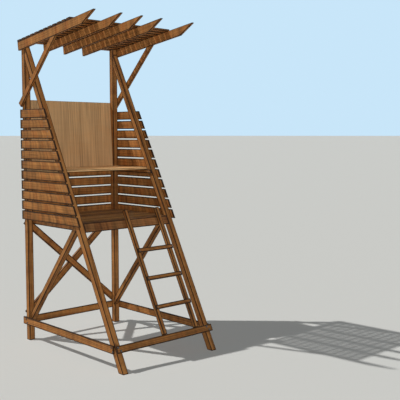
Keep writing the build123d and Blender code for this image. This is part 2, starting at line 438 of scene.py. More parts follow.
class Wood(Enum):
    """The tower's timber finishes."""

    POSTS = TimberFinish(
        "oiled_posts", "frame_timber", (0.370, 0.160, 0.045), OILED_RING, OILED_FLUSH,
        ring_show=0.75, flush_show=0.50, figure=0.50, patch_show=1.00, fibre_show=1.30,
        edge_core=0.0055, edge_width=0.0125,
    )
    RAILS = TimberFinish(
        "oiled_rails", "rail_boards", OILED, OILED_RING, OILED_FLUSH,
        ring_show=0.85, figure=1.00, patch_show=1.10, fibre_show=1.30,
    )
    # Beams and decking are one timber in two copies: the decking is painted lighter to offset the shade it
    # lies in, and the beams darker to offset the fill light on their front faces
    BEAMS = TimberFinish(
        "beams_painted_darker", "deck_timber", (0.285, 0.123, 0.041), (0.125, 0.048, 0.015), (0.285, 0.094, 0.026),
        ring_show=0.65, figure=1.70, patch_show=0.80,
    )
    DECKING = TimberFinish(
        "decking_painted_lighter", "deck_timber", (0.395, 0.192, 0.061), (0.175, 0.072, 0.023), (0.365, 0.147, 0.041),
        ring_show=0.70, figure=0.50, patch_show=0.80, board_change=0.80,
    )
    SLATS = TimberFinish(
        "oiled_slats", "wall_slats", OILED, OILED_RING, OILED_FLUSH,
        ring_show=0.40, ring_wander=0.02, figure=1.80, patch_show=0.70,
    )
    PLYWOOD = TimberFinish(
        "tan_plywood", "back_plywood", (0.555, 0.338, 0.160), (0.50, 0.295, 0.135), (0.56, 0.320, 0.140),
        ring_width=0.030, ring_show=0.80, ring_wander=0.05, figure=0.10, patch_show=0.60,
        fibre_show=1.10, fibre_width=0.012, fibre_length=0.80, board_change=0.0,
        edge_core=0.001, edge_width=0.004, arris_shade_tone=0.45,
    )
    SEAT = TimberFinish(
        "pale_seat", "seat_plank", (0.74, 0.435, 0.195), (0.42, 0.225, 0.09), (0.57, 0.30, 0.12),
        figure=0.15, edge_core=0.003, edge_width=0.007,
    )
    BATTENS = TimberFinish(
        "oiled_battens", "roof_timber", OILED, OILED_RING, OILED_FLUSH,
        ring_show=0.45, ring_wander=0.03, figure=1.60, patch_show=0.35, board_change=0.08,
    )
    ROOF = replace(BATTENS, name="oiled_roof", edge_core=0.004, edge_width=0.009)


@dataclass(frozen=True)
class SteelFinish:
    """Dull zinc-coated steel of the screws and bolts."""

    name: str
    clean: Colour = (0.17, 0.16, 0.15)
    tarnish: Colour = (0.07, 0.055, 0.045)
    patch_size: float = 0.012
    patch_edge: float = 0.12
    metallic: float = 0.85
    roughness: float = 0.58
    polish: float = 0.18  # how much smoother the clean steel is

    def material(self) -> bpy.types.Material:
        """Build the material.

        Returns:
            A material that needs no attribute.
        """
        made = bpy.data.materials.new(self.name)
        made.use_nodes = True
        graph = NodeGraph(made.node_tree)
        place = graph.node("ShaderNodeTexCoord", output="Object")
        patch = graph.noise(place, (1.0 / self.patch_size,) * 3, detail=3.0)
        cover = graph.fade(patch, self.patch_edge, -self.patch_edge)
        surface = graph.node(
            "ShaderNodeBsdfPrincipled",
            inputs={
                "Base Color": graph.blend(cover, opaque(self.tarnish), opaque(self.clean)),
                "Metallic": self.metallic,
                "Roughness": self.roughness - cover * self.polish,
            },
        )
        graph.node("ShaderNodeOutputMaterial", inputs={"Surface": surface})
        return made


class Grain(Enum):
    """Which way a timber's grain runs."""

    LENGTHWISE = "along its longest edge"
    UPRIGHT = "along its steepest edge"


def add_object(name: str, mesh: bpy.types.Mesh) -> bpy.types.Object:
    """Put a mesh into the scene.

    Args:
        name: The object's name.
        mesh: Its mesh.

    Returns:
        The object, at the origin.
    """
    made = bpy.data.objects.new(name, mesh)
    bpy.context.scene.collection.objects.link(made)
    return made


def keep_piece(piece: bpy.types.Object, slot: Optional[str] = None, node: Optional[str] = None) -> None:
    """Fix a finished piece to the tower.

    Args:
        piece: The object.
        slot: Not used.
        node: The CAD node that it stands for.
    """
    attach(piece, BODY)
    if node:
        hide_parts(node)
    log.info("%s: %d faces", piece.name, len(piece.data.polygons))


@dataclass
class Timber:
    """One timber with the shape of its CAD solid, eased arrises and grain along it."""

    node: str
    arris: float
    grain: Grain = Grain.LENGTHWISE
    arris_steps: int = 2
    arris_profile: float = 0.5  # a quarter round
    most_cuts: int = 3
    weld: float = 1e-5
    flat_angle: float = math.radians(1.0)
    edge_angle: float = math.radians(20.0)
    square_cosine: float = math.cos(math.radians(1.0))
    side_cosine: float = 0.1  # a face that looks along the grain by less than this is a side

    def build(self, wood: Wood, material: bpy.types.Material) -> bpy.types.Object:
        """Make the piece.

        Args:
            wood: The finish that names its slot.
            material: The finish's material.

        Returns:
            The object, which rides on the tower.
        """
        solid = bmesh.new()
        solid.from_mesh(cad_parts[self.node].data)
        bmesh.ops.remove_doubles(solid, verts=solid.verts, dist=self.weld)
        bmesh.ops.dissolve_limit(
            solid, angle_limit=self.flat_angle, verts=solid.verts, edges=solid.edges
        )
        axes = self._axes(solid)
        cuts = self._cuts(solid, axes)
        sharp = [edge for edge in solid.edges if edge.calc_face_angle(0.0) > self.edge_angle]
        bmesh.ops.bevel(
            solid,
            geom=sharp,
            offset=self.arris,
            segments=self.arris_steps,
            profile=self.arris_profile,
            affect="EDGES",
            clamp_overlap=True,
        )
        mesh = bpy.data.meshes.new(self.node + "_timber")
        solid.to_mesh(mesh)
        solid.free()
        self._mark(mesh, axes, cuts)
        mesh.materials.append(material)
        piece = add_object(mesh.name, mesh)
        keep_piece(piece, wood.value.slot, self.node)
        return piece

    def _axes(self, solid: bmesh.types.BMesh) -> Matrix:
        """Directions along the grain, across it and through the timber.

        Args:
            solid: The timber with flat faces.

        Returns:
            A matrix with the three directions as rows.
        """
        if self.grain is Grain.LENGTHWISE:
            longest = max(solid.edges, key=lambda edge: edge.calc_length())
        else:
            longest = max(solid.edges, key=lambda edge: abs(edge.verts[0].co.z - edge.verts[1].co.z))
        along = (longest.verts[1].co - longest.verts[0].co).normalized()
        sides = [face for face in solid.faces if abs(face.normal.dot(along)) < self.side_cosine]
        through = max(sides, key=lambda face: face.calc_area()).normal.copy()
        return Matrix((along, through.cross(along), through))

    def _cuts(self, solid: bmesh.types.BMesh, axes: Matrix) -> list[Site]:
        """Planes of the outer faces that are cut on the skew, such as a mitred end.

        Args:
            solid: The timber with flat faces.
            axes: Directions along, across and through.

        Returns:
            A point and the outward direction of each plane, the largest faces first.
        """
        planes = []
        for face in sorted(solid.faces, key=lambda face: -face.calc_area()):
            normal, place = face.normal.copy(), face.verts[0].co.copy()
            square = max(abs(normal.dot(axis)) for axis in axes) > self.square_cosine
            reach = max((vertex.co - place).dot(normal) for vertex in solid.verts)
            if not square and reach < self.arris:
                planes.append((place, normal))
        return planes[: self.most_cuts]

    def _mark(self, mesh: bpy.types.Mesh, axes: Matrix, cuts: list[Site]) -> None:
        """Store what the finish reads: place in the timber, half sizes, skewed cuts, tone, end grain.

        Args:
            mesh: The finished mesh.
            axes: Directions along, across and through.
            cuts: A point and the outward direction of each skewed face.
        """
        turned = [axes @ vertex.co for vertex in mesh.vertices]
        low = Vector(min(p[i] for p in turned) for i in range(3))
        high = Vector(max(p[i] for p in turned) for i in range(3))
        middle, half = (low + high) / 2, (high - low) / 2
        tone = random.Random(self.node).random()
        ends = [float(abs(face.normal.dot(axes[0])) > END_FACING) for face in mesh.polygons]
        self._store(mesh, "grain", "vector", [value for p in turned for value in p - middle])
        self._store(mesh, "half", "vector", list(half) * len(turned))
        none = [NO_CUT] * (self.most_cuts - len(cuts))
        depths = [
            [(place - vertex.co).dot(normal) for place, normal in cuts] + none for vertex in mesh.vertices
        ]
        self._store(mesh, "cuts", "vector", [depth for row in depths for depth in row])
        self._store(mesh, "tone", "value", [tone] * len(turned))
        self._store(mesh, "end", "value", ends, "FACE")

    @staticmethod
    def _store(
        mesh: bpy.types.Mesh, name: str, field: str, values: list[float], domain: str = "POINT"
    ) -> None:
        """Store one attribute, of vectors or of single values."""
        kind = "FLOAT_VECTOR" if field == "vector" else "FLOAT"
        mesh.attributes.new(name, kind, domain).data.foreach_set(field, values)


class ModifierTree:
    """A geometry node tree with named inputs, and the way to run it once."""

    def __init__(self, name: str, inputs: dict[str, str]) -> None:
        """Start a tree.

        Args:
            name: The tree's name.
            inputs: Socket type of each named input.
        """
        self.tree = bpy.data.node_groups.new(name, "GeometryNodeTree")
        self.graph = NodeGraph(self.tree)
        interface = self.tree.interface
        self.sockets = {}
        for label, kind in {"Geometry": "NodeSocketGeometry", **inputs}.items():
            self.sockets[label] = interface.new_socket(label, in_out="INPUT", socket_type=kind)
        interface.new_socket("Geometry", in_out="OUTPUT", socket_type="NodeSocketGeometry")
        self.given = self.graph.node("NodeGroupInput").sibling

    def store(
        self, geometry: Value, name: str, value: Operand, kind: str = "FLOAT", domain: str = "POINT"
    ) -> Value:
        """Store a named attribute on a geometry.

        Args:
            geometry: What gets it.
            name: The attribute's name.
            value: Its value, which may be a field.
            kind: Its data type.
            domain: What each value belongs to.

        Returns:
            The geometry with the attribute.
        """
        settings = {"data_type": kind, "domain": domain}
        inputs = {"Geometry": geometry, "Name": name, "Value": value}
        return self.graph.node("GeometryNodeStoreNamedAttribute", settings, inputs)

    def read(self, name: str, kind: str = "FLOAT") -> Value:
        """Read a named attribute."""
        return self.graph.node("GeometryNodeInputNamedAttribute", {"data_type": kind}, {"Name": name})

    def finish(self, instances: Value, after: Optional[Callable[[Value], Value]] = None) -> None:
        """End the tree: realize the instances, set the material and give the result out.

        Args:
            instances: What the tree has made.
            after: Work on the realized mesh before it gets its material.
        """
        mesh = self.graph.node("GeometryNodeRealizeInstances", inputs={"Geometry": instances})
        if after:
            mesh = after(mesh)
        inputs = {"Geometry": mesh, "Material": self.given("Finish")}
        dressed = self.graph.node("GeometryNodeSetMaterial", inputs=inputs)
        self.graph.node("NodeGroupOutput", inputs={"Geometry": dressed})

    def run(self, name: str, values: dict, mesh: Optional[bpy.types.Mesh] = None) -> bpy.types.Object:
        """Make one object with the tree.

        Args:
            name: The object's name.
            values: A value for each named input.
            mesh: The mesh that the tree starts from, if any.

        Returns:
            An object with a plain mesh and no modifier.
        """
        made = add_object(name, mesh or bpy.data.meshes.new(name + "_start"))
        modifier = made.modifiers.new(self.tree.name, "NODES")
        modifier.node_group = self.tree
        for label, value in values.items():
            modifier[self.sockets[label].identifier] = value
        graph = bpy.context.evaluated_depsgraph_get()
        plain = bpy.data.meshes.new_from_object(made.evaluated_get(graph))
        made.modifiers.clear()
        made.data = plain
        plain.name = name
        return made


class BoardTree(ModifierTree):
    """Lays like boards side by side, each longer or shorter than the last, with a skewed first end."""

    sizes: dict[str, str] = {
        "Count": "NodeSocketInt",
        "First": "NodeSocketVector",
        "Step": "NodeSocketVector",
        "Run": "NodeSocketVector",
        "Across": "NodeSocketVector",
        "Length": "NodeSocketFloat",
        "Growth": "NodeSocketFloat",
        "Width": "NodeSocketFloat",
        "Thickness": "NodeSocketFloat",
        "Arris": "NodeSocketFloat",
        "Skew": "NodeSocketFloat",
        "Seed": "NodeSocketInt",
    }
    arris_steps: int = 2

    def __init__(self) -> None:
        """Build the tree."""
        super().__init__("board_row", {**self.sizes, "Finish": "NodeSocketMaterial"})
        graph, given = self.graph, self.given
        number = graph.node("GeometryNodeInputIndex")
        length = given("Length") + given("Growth") * number
        turn = graph.node(
            "FunctionNodeAxesToRotation",
            {"primary_axis": "X", "secondary_axis": "Y"},
            {"Primary Axis": given("Run"), "Secondary Axis": given("Across")},
        )
        boards = graph.node(
            "GeometryNodeInstanceOnPoints",
            inputs={
                "Points": self._row(number, length),
                "Instance": self._board(),
                "Rotation": turn,
                "Scale": graph.vector(length, 1.0, 1.0),
            },
        )
        self.finish(boards, self._skew_and_mark)

    def _row(self, number: Value, length: Value) -> Value:
        """Points at the boards' first ends, with what the finish reads of each board.

        Args:
            number: A board's place in the row.
            length: That board's length.

        Returns:
            The points.
        """
        graph, given = self.graph, self.given
        place = graph.vectors("ADD", given("First"), graph.scaled(given("Step"), number))
        row = graph.node("GeometryNodePoints", inputs={"Count": given("Count"), "Position": place})
        inputs = {"ID": number, "Seed": given("Seed")}
        tone = graph.node("FunctionNodeRandomValue", {"data_type": "FLOAT"}, inputs, "Value_001")
        half = graph.vector(length * 0.5, given("Width") * 0.5, given("Thickness") * 0.5)
        row = self.store(row, "tone", tone)
        row = self.store(row, "cuts", (NO_CUT, NO_CUT, NO_CUT), "FLOAT_VECTOR")
        return self.store(row, "half", half, "FLOAT_VECTOR")

    def _board(self) -> Value:
        """One board of unit length along +X, with eased arrises.

        Returns:
            The board, which keeps its place along and in its section as attributes.
        """
        graph, given = self.graph, self.given
        section = graph.node(
            "GeometryNodeCurvePrimitiveQuadrilateral",
            {"mode": "RECTANGLE"},
            {"Width": given("Width"), "Height": given("Thickness")},
        )
        section = graph.node(
            "GeometryNodeFilletCurve",
            {"mode": "POLY"},
            {"Curve": section, "Radius": given("Arris"), "Count": self.arris_steps},
        )
        position = graph.node("GeometryNodeInputPosition")
        section = self.store(section, "section", position, "FLOAT_VECTOR")
        line = graph.node("GeometryNodeCurvePrimitiveLine", inputs={"End": (1.0, 0.0, 0.0)})
        inputs = {"Curve": line, "Profile Curve": section, "Fill Caps": True}
        board = graph.node("GeometryNodeCurveToMesh", inputs=inputs)
        along, _, _ = graph.split(position)
        board = self.store(board, "along", along)
        across, through, _ = graph.split(self.read("section", "FLOAT_VECTOR"))
        place = graph.vector(self.read("along"), across, through)
        inputs = {"Geometry": board, "Position": place}
        board = graph.node("GeometryNodeSetPosition", inputs=inputs)
        facing, _, _ = graph.split(graph.node("GeometryNodeInputNormal"))
        return self.store(board, "end", abs(facing).above(END_FACING), domain="FACE")

    def _skew_and_mark(self, mesh: Value) -> Value:
        """Cut the first ends on the skew and store each place in its board.

        Args:
            mesh: The realized boards.

        Returns:
            The boards as the finish needs them.
        """
        graph, given = self.graph, self.given
        across, through, _ = graph.split(self.read("section", "FLOAT_VECTOR"))
        full, _, _ = graph.split(self.read("half", "FLOAT_VECTOR"))
        along = (self.read("along") - 0.5) * 2.0 * full
        mesh = self.store(mesh, "grain", graph.vector(along, across, through), "FLOAT_VECTOR")
        slide = across * given("Skew") * (1.0 - self.read("along"))
        inputs = {"Geometry": mesh, "Offset": graph.scaled(given("Run"), slide)}
        mesh = graph.node("GeometryNodeSetPosition", inputs=inputs)
        for name in ("section", "along"):
            inputs = {"Geometry": mesh, "Name": name}
            mesh = graph.node("GeometryNodeRemoveAttribute", inputs=inputs)
        return mesh


class HeadTree(ModifierTree):
    """Puts a steel head on each site of the start mesh."""

    def __init__(self, name: str, *sizes: str) -> None:
        """Start a tree whose named sizes are all lengths."""
        kinds = {size: "NodeSocketFloat" for size in sizes}
        super().__init__(name, {**kinds, "Finish": "NodeSocketMaterial"})

    def cone(self, sides: int, radius: Value, top_share: float, rise: Value, steps: int = 1) -> Value:
        """A closed cone that stands on the site.

        Args:
            sides: Corners of its outline.
            radius: At its foot.
            top_share: Its radius at the top as a share of that.
            rise: Its height.
            steps: Rows of faces up its side.

        Returns:
            Its mesh.
        """
        inputs = {
            "Vertices": sides,
            "Side Segments": steps,
            "Radius Top": radius * top_share,
            "Radius Bottom": radius,
            "Depth": rise,
        }
        return self.graph.node("GeometryNodeMeshCone", {"fill_type": "NGON"}, inputs)

    def place(self, head: Value) -> None:
        """End the tree with a head on each site, turned to face outwards.

        Args:
            head: The head, which faces +Z.
        """
        facing = self.read("facing", "FLOAT_VECTOR")
        turn = self.graph.node("FunctionNodeAlignRotationToVector", {"axis": "Z"}, {"Vector": facing})
        inputs = {"Points": self.given("Geometry"), "Instance": head, "Rotation": turn}
        self.finish(self.graph.node("GeometryNodeInstanceOnPoints", inputs=inputs))


class ScrewTree(HeadTree):
    """Countersunk screw heads with a recess."""

    sides: int = 12
    top_share: float = 0.86
    recess_share: float = 0.45  # width of the recess in the head's top

    def __init__(self) -> None:
        """Build the tree."""
        super().__init__("screw_heads", "Radius", "Rise", "Recess")
        blank = self.cone(self.sides, self.given("Radius"), self.top_share, self.given("Rise"))
        rim = self._push(blank, blank.sibling("Top"), 0.0)
        drive = rim.sibling("Top")
        inputs = {"Geometry": rim, "Selection": drive, "Scale": self.recess_share}
        head = self.graph.node("GeometryNodeScaleElements", {"domain": "FACE"}, inputs)
        self.place(self._push(head, drive, 0.0 - self.given("Recess")))

    def _push(self, mesh: Value, faces: Value, rise: Operand) -> Value:
        """Push faces of a mesh out by a height."""
        inputs = {"Mesh": mesh, "Selection": faces, "Offset Scale": rise}
        return self.graph.node("GeometryNodeExtrudeMesh", {"mode": "FACES"}, inputs)


class BoltTree(HeadTree):
    """Washers with six-sided bolt heads."""

    sides: int = 6
    side_steps: int = 2
    top_share: float = 0.93
    washer_sides: int = 20
    washer_top_share: float = 0.95
    washer_rise_share: float = 0.35  # of the head's rise

    def __init__(self) -> None:
        """Build the tree."""
        super().__init__("bolt_heads", "Radius", "Rise", "Washer")
        graph, rise = self.graph, self.given("Rise")
        washer_rise = rise * self.washer_rise_share
        washer = self.cone(self.washer_sides, self.given("Washer"), self.washer_top_share, washer_rise)
        head = self.cone(self.sides, self.given("Radius"), self.top_share, rise, self.side_steps)
        inputs = {"Geometry": head, "Translation": graph.vector(0.0, 0.0, washer_rise)}
        raised = graph.node("GeometryNodeTransform", inputs=inputs)
        both = graph.node("GeometryNodeJoinGeometry", inputs={"Geometry": washer})
        self.tree.links.new(raised.socket, both.socket.node.inputs["Geometry"])
        self.place(both)


@dataclass
class BoardRow:
    """Like boards side by side."""

    name: str
    node: str
    count: int
    first: Vector  # middle of the first end of the first board
    step: Vector
    run: Vector
    across: Vector
    length: float
    width: float
    thickness: float
    growth: float = 0.0
    skew: float = 0.0
    arris: float = 0.002
    seed: int = 1

    def build(self, tree: BoardTree, wood: Wood, material: bpy.types.Material) -> bpy.types.Object:
        """Make the boards as one piece.

        Args:
            tree: The tree that lays boards.
            wood: The finish that names the slot.
            material: The finish's material.

        Returns:
            The object, which rides on the tower.
        """
        sizes = {label: getattr(self, label.lower()) for label in tree.sizes}
        piece = tree.run(self.name, {**sizes, "Finish": material})
        keep_piece(piece, wood.value.slot, self.node)
        return piece


@dataclass(frozen=True)
class Layout:
    """Places that several sub-assemblies share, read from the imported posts."""

    rear: float  # rear faces of the rear posts
    post: float  # section of the posts
    half_width: float  # outer faces of the posts
    toe: float  # toes of the raked posts
    rake: float  # level run of the raked posts for each metre of height

    @classmethod
    def read(cls) -> "Layout":
        """Measure the posts on the right.

        Returns:
            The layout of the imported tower.
        """
        low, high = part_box("right_rear_post")
        toe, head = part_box("right_raked_post")
        return cls(high.y, high.x - low.x, high.x, toe.y, (head.y - toe.y) / head.z)

    def rake_front(self, height: float) -> float:
        """Place of the raked posts' front faces at a height."""
        return self.toe + self.rake * height

    def rake_middle(self, height: float) -> float:
        """Place of the raked posts' middle at a height."""
        return self.rake_front(height) + self.post * math.hypot(1.0, self.rake) / 2

    def post_middle(self) -> float:
        """Middle of the posts from the middle of the tower."""
        return self.half_width - self.post / 2

    def side_posts(self, height: float) -> tuple[float, float]:
        """Places of the rear post's and the raked post's middle at a height."""
        return self.rear - self.post / 2, self.rake_middle(height)

    def rake_normal(self) -> Vector:
        """Direction that the raked posts' front faces look."""
        return Vector((0.0, -1.0, self.rake)).normalized()


def face_across(node: str, facing: Vector) -> tuple[Vector, Vector]:
    """Measure the face of a timber that lies across the tower.

    Args:
        node: The timber's CAD node.
        facing: Direction that the face looks.

    Returns:
        The face's middle, on the middle plane of the tower, and a vector over its breadth.
    """
    breadth = ACROSS_TOWER.cross(facing)
    corners = [vertex.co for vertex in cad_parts[node].data.vertices]
    proud = max(corner.dot(facing) for corner in corners)
    span = [corner.dot(breadth) for corner in corners]
    middle = breadth * (max(span) + min(span)) / 2 + facing * proud
    return middle, breadth * (max(span) - min(span))


class FixingKind(Enum):
    """What holds a joint together."""

    SCREW = "screw"
    BOLT = "bolt"


class Workshop:
    """What the sub-assemblies share: the layout, the board tree, the materials and fixing sites."""

    def __init__(self) -> None:
        """Build the materials and the board tree."""
        self.layout = Layout.read()
        self.board_tree = BoardTree()
        self.materials = {wood: wood.value.material() for wood in Wood}
        self.sites: dict[FixingKind, list[Site]] = {kind: [] for kind in FixingKind}

    def timbers(self, wood: Wood, arris: float, *nodes: str, grain: Grain = Grain.LENGTHWISE) -> None:
        """Make single timbers of one finish."""
        for node in nodes:
            Timber(node, arris, grain).build(wood, self.materials[wood])

    def boards(self, wood: Wood, row: BoardRow) -> None:
        """Make a row of boards of one finish."""
        row.build(self.board_tree, wood, self.materials[wood])

    def fix(self, kind: FixingKind, place: Vector, facing: Vector, spread: Vector) -> None:
        """Put two fixings on a joint.

        Args:
            kind: Screw or bolt.
            place: Middle of the joint, on the outer face.
            facing: Direction that the face looks.
            spread: From the middle to one of the two.
        """
        self.sites[kind] += [(place + spread, facing), (place - spread, facing)]


@dataclass
class MainFrame:
    """Rear posts, raked posts and the square braces in the sides."""

    arris: float = 0.003

    def build(self, shop: Workshop) -> None:
        """Make the timbers.

        Args:
            shop: The shared workshop.
        """
        parts = ("rear_post", "raked_post", "side_brace")
        names = [f"{word}_{part}" for part in parts for word in SIDES]
        shop.timbers(Wood.POSTS, self.arris, *names)


@dataclass
class BaseRails:
    """Boards that tie the posts near the ground, and the cross at the rear."""

    arris: float = 0.0025
    bolt_share: float = 0.24  # of a rail's width, from its middle to a bolt
    bolt_slant: float = 0.012

    def build(self, shop: Workshop) -> None:
        """Make the boards and bolt them to the posts.

        Args:
            shop: The shared workshop.
        """
        shop.timbers(
            Wood.RAILS, self.arris, "left_base_rail", "right_base_rail", "front_base_rail",
            "rear_base_rail", "rear_brace_rising", "rear_brace_falling",
        )
        for word, side in SIDES.items():
            low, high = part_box(f"{word}_base_rail")
            height = (low.z + high.z) / 2
            facing = ACROSS_TOWER * side
            spread = Vector((0.0, self.bolt_slant, (high.z - low.z) * self.bolt_share))
            outer = side * max(abs(low.x), abs(high.x))
            for place in shop.layout.side_posts(height):
                shop.fix(FixingKind.BOLT, Vector((outer, place, height)), facing, spread)
        self._bolt_across(shop, "rear_base_rail", TO_REAR)
        self._bolt_across(shop, "front_base_rail", shop.layout.rake_normal())

    def _bolt_across(self, shop: Workshop, rail: str, facing: Vector) -> None:
        """Bolt a rail that lies across the tower to two posts.

        Args:
            shop: The shared workshop.
            rail: The rail's CAD node.
            facing: Direction that its outer face looks.
        """
        middle, breadth = face_across(rail, facing)
        spread = breadth * self.bolt_share + ACROSS_TOWER * self.bolt_slant
        for side in SIDES.values():
            place = middle + ACROSS_TOWER * side * shop.layout.post_middle()
            shop.fix(FixingKind.BOLT, place, facing, spread)


@dataclass
class Deck:
    """Beams round the deck and the boards across it."""

    arris: float = 0.003
    count: int = 10  # full width boards, in front of the one between the rear posts
    gap: float = 0.005
    screw_share: float = 0.26
    seed: int = 5
    rear_seed: int = 6

    def build(self, shop: Workshop) -> None:
        """Make the beams and boards, and screw the boards down.

        Args:
            shop: The shared workshop.
        """
        shop.timbers(
            Wood.BEAMS, self.arris,
            "left_deck_beam", "right_deck_beam", "front_deck_beam", "rear_deck_beam",
        )
        layout = shop.layout
        low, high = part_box("deck_boards")
        post_front = layout.rear - layout.post
        pitch = (post_front - low.y) / self.count
        width = pitch - self.gap
        thickness = high.z - low.z
        height = (low.z + high.z) / 2
        inner = layout.half_width - layout.post
        full = BoardRow(
            "deck_boards_row",
            "deck_boards",
            count=self.count,
            first=Vector((low.x, low.y + width / 2, height)),
            step=TO_REAR * pitch,
            run=ACROSS_TOWER,
            across=TO_REAR,
            length=high.x - low.x,
            width=width,
            thickness=thickness,
            seed=self.seed,
        )
        between_posts = replace(
            full,
            name="deck_rear_board",
            count=1,
            first=Vector((-inner, layout.rear - layout.post / 2, height)),
            length=2 * inner,
            width=layout.post,
            seed=self.rear_seed,
        )
        for row in (full, between_posts):
            shop.boards(Wood.DECKING, row)
        beam_low, beam_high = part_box("right_deck_beam")
        spread = TO_REAR * width * self.screw_share
        for number in range(self.count):
            for side in SIDES.values():
                over = side * (beam_low.x + beam_high.x) / 2
                place = Vector((over, low.y + number * pitch + width / 2, high.z))
                shop.fix(FixingKind.SCREW, place, UP, spread)


@dataclass
class SlattedWalls:
    """Level slats on the outside of the posts, left, right and at the rear."""

    width: float = 0.104
    gap: float = 0.016
    arris: float = 0.0025
    screw_share: float = 0.27  # of a slat's width, from its middle to a screw
    side_seeds: tuple[int, int] = (11, 12)
    rear_seed: int = 13

    def build(self, shop: Workshop) -> None:
        """Make the three walls and screw them to the posts.

        Args:
            shop: The shared workshop.
        """
        layout = shop.layout
        pitch = self.width + self.gap
        for (word, side), seed in zip(SIDES.items(), self.side_seeds):
            name = f"{word}_wall_slats"
            low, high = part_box(name)
            count = round((high.z - low.z + self.gap) / pitch)
            middle = low.z + self.width / 2
            front = low.y + layout.rake * self.width / 2
            shop.boards(
                Wood.SLATS,
                BoardRow(
                    name + "_row",
                    name,
                    count=count,
                    first=Vector(((low.x + high.x) / 2, front, middle)),
                    step=Vector((0.0, layout.rake * pitch, pitch)),
                    run=TO_REAR,
                    across=UP,
                    length=high.y - front,
                    growth=-layout.rake * pitch,
                    skew=layout.rake,
                    width=self.width,
                    thickness=high.x - low.x,
                    arris=self.arris,
                    seed=seed,
                ),
            )
            outer = side * max(abs(low.x), abs(high.x))
            spread = UP * self.width * self.screw_share
            for number in range(count):
                height = middle + number * pitch
                for place in layout.side_posts(height):
                    site = Vector((outer, place, height))
                    shop.fix(FixingKind.SCREW, site, ACROSS_TOWER * side, spread)
        self._build_rear(shop, pitch)

    def _build_rear(self, shop: Workshop, pitch: float) -> None:
        """Make the rear wall.

        Args:
            shop: The shared workshop.
            pitch: From one slat to the next.
        """
        low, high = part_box("rear_wall_slats")
        count = round((high.z - low.z + self.gap) / pitch)
        middle = low.z + self.width / 2
        shop.boards(
            Wood.SLATS,
            BoardRow(
                "rear_wall_slats_row",
                "rear_wall_slats",
                count=count,
                first=Vector((low.x, (low.y + high.y) / 2, middle)),
                step=UP * pitch,
                run=ACROSS_TOWER,
                across=UP,
                length=high.x - low.x,
                width=self.width,
                thickness=high.y - low.y,
                arris=self.arris,
                seed=self.rear_seed,
            ),
        )
        spread = UP * self.width * self.screw_share
        for number in range(count):
            for side in SIDES.values():
                site = Vector((side * shop.layout.post_middle(), high.y, middle + number * pitch))
                shop.fix(FixingKind.SCREW, site, TO_REAR, spread)


@dataclass
class SeatAndPanel:
    """Seat board, the bearers under its ends and the reclined panel behind it."""

    seat_arris: float = 0.004
    bearer_arris: float = 0.0025
    panel_arris: float = 0.001
    screw_share: float = 0.26

    def build(self, shop: Workshop) -> None:
        """Make them, and screw the bearers to the posts.

        Args:
            shop: The shared workshop.
        """
        shop.timbers(Wood.SEAT, self.seat_arris, "seat_board")
        shop.timbers(Wood.PLYWOOD, self.panel_arris, "back_panel", grain=Grain.UPRIGHT)
        for word, side in SIDES.items():
            name = f"{word}_seat_bearer"
            shop.timbers(Wood.RAILS, self.bearer_arris, name)
            low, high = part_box(name)
            height = (low.z + high.z) / 2
            inner = side * min(abs(low.x), abs(high.x))
            spread = UP * (high.z - low.z) * self.screw_share
            for place in shop.layout.side_posts(height):
                shop.fix(FixingKind.SCREW, Vector((inner, place, height)), ACROSS_TOWER * -side, spread)


@dataclass
class Roof:
    """Rafters, battens and the struts under the outer rafters."""

    arris: float = 0.003
    slope: float = math.radians(7.7)
    batten_width: float = 0.070
    batten_gap: float = 0.025
    batten_count: int = 12
    rafter_tail: float = 0.035
    screw_share: float = 0.24
    seed: int = 21

    def build(self, shop: Workshop) -> None:
        """Make the timbers and lay the battens on the rafters.

        Args:
            shop: The shared workshop.
        """
        rafters = ("left_outer_rafter", "left_inner_rafter", "middle_inner_rafter",
                   "right_inner_rafter", "right_outer_rafter")
        shop.timbers(Wood.ROOF, self.arris, *rafters, "left_roof_strut", "right_roof_strut")
        layout = shop.layout
        uphill = Vector((0.0, -math.cos(self.slope), math.sin(self.slope)))
        facing = Vector((0.0, math.sin(self.slope), math.cos(self.slope)))
        low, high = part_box("roof_battens")
        _, post_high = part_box("right_rear_post")
        roof_level = post_high.z - layout.post * math.tan(self.slope)
        start = Vector((0.0, layout.rear, roof_level)) - uphill * self.rafter_tail
        pitch = self.batten_width + self.batten_gap
        corners = [vertex.co.dot(facing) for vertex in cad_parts["roof_battens"].data.vertices]
        thickness = max(corners) - min(corners)
        first = start + uphill * self.batten_width / 2 + facing * thickness / 2
        shop.boards(
            Wood.BATTENS,
            BoardRow(
                "roof_battens_row",
                "roof_battens",
                count=self.batten_count,
                first=Vector((low.x, first.y, first.z)),
                step=uphill * pitch,
                run=ACROSS_TOWER,
                across=uphill * -1.0,
                length=high.x - low.x,
                width=self.batten_width,
                thickness=thickness,
                arris=self.arris,
                seed=self.seed,
            ),
        )
        spread = uphill * self.batten_width * self.screw_share
        for name in rafters:
            rafter_low, rafter_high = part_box(name)
            over = ACROSS_TOWER * (rafter_low.x + rafter_high.x) / 2
            for number in range(self.batten_count):
                site = over + first + uphill * pitch * number + facing * thickness / 2
                shop.fix(FixingKind.SCREW, site, facing, spread)


@dataclass
class Ladder:
    """Two stringers with rungs across their front faces."""

    arris: float = 0.003
    screw_share: float = 0.22

    def build(self, shop: Workshop) -> None:
        """Make the timbers and screw the rungs on.

        Args:
            shop: The shared workshop.
        """
        stringers = ("ladder_left_stringer", "ladder_right_stringer")
        rungs = ("ladder_lower_rung", "ladder_middle_rung", "ladder_upper_rung")
        shop.timbers(Wood.POSTS, self.arris, *stringers)
        shop.timbers(Wood.RAILS, self.arris, *rungs)
        facing = shop.layout.rake_normal()
        for rung in rungs:
            middle, breadth = face_across(rung, facing)
            for stringer in stringers:
                low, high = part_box(stringer)
                over = ACROSS_TOWER * (low.x + high.x) / 2
                shop.fix(FixingKind.SCREW, middle + over, facing, breadth * self.screw_share)


